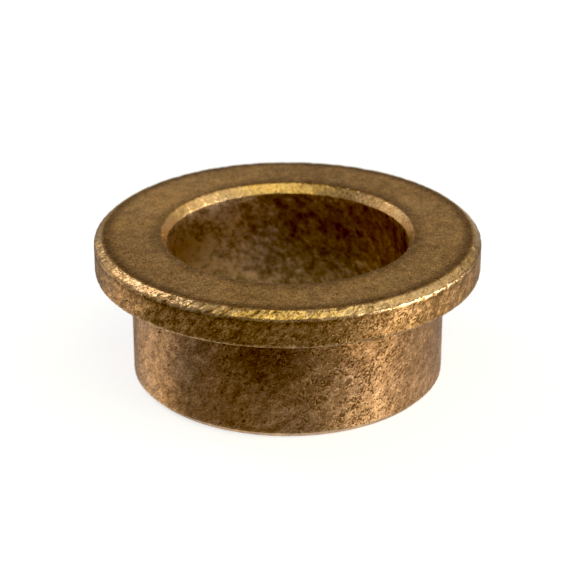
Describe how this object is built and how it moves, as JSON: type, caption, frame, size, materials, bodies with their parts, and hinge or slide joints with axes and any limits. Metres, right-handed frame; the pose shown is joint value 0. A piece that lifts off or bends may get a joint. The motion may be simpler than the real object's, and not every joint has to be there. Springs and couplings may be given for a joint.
{
  "type": "flanged sleeve bushing",
  "caption": "Short plain bearing sleeve with a flange at one end, pressed from porous bronze, for a shaft that turns and bears sideways.",
  "frame": {"origin": "on the bore's axis, at the centre of the sleeve's plain end face", "axes": "+Z along the bore's axis, from the plain end towards the flange; X and Y are free, because the part is round"},
  "size_m": [0.032, 0.032, 0.0125],
  "materials": {
    "sintered_bronze": "as-pressed sintered bronze: satin, fine open pores, brown-olive faces with brighter burnished edges and chamfers"
  },
  "bodies": {
    "root": {"flanged_bushing": "sintered_bronze"}
  },
  "joints": []
}
